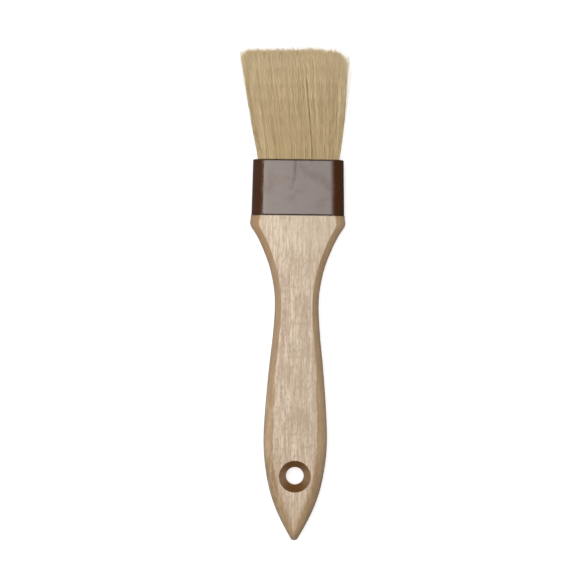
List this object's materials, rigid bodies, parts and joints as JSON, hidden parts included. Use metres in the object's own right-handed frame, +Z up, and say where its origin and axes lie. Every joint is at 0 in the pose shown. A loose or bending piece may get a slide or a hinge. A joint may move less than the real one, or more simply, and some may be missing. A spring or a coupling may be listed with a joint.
{
  "type": "pastry brush",
  "caption": "Flat pastry brush with a shaped wooden handle, a countersunk hang hole, a moulded plastic ferrule and a splayed head of pale natural bristle.",
  "frame": {"origin": "on the handle's back face, on the brush's long axis, half way along its length", "axes": "+Y along the brush to the bristle tips, +X across it, +Z up from the back face to the front face; the brush lies on its back"},
  "size_m": [0.0463, 0.2158, 0.014],
  "materials": {
    "handle_wood": "thin satin lacquer",
    "ferrule_plastic": "glossy moulded",
    "glue": "cured wood glue",
    "resin": "cured epoxy",
    "strip_wood": "bare",
    "bristle": "natural hog bristle"
  },
  "bodies": {
    "brush_body": {"handle": "handle_wood", "ferrule": "ferrule_plastic", "tenon_glue": "glue", "resin_setting": "resin", "filler_strip": "strip_wood", "front_bristle_roots": "bristle", "back_bristle_roots": "bristle"},
    "bristle_head": {"front_bristles": "bristle", "back_bristles": "bristle"}
  },
  "joints": [
    {"name": "bristle_flex", "type": "hinge", "parent": "brush_body", "child": "bristle_head", "pos_m": [0, 0.0665, 0.007], "axis": [1, 0, 0], "range_deg": [-15, 45], "stiffness_Nm_per_rad": 0.15}
  ]
}
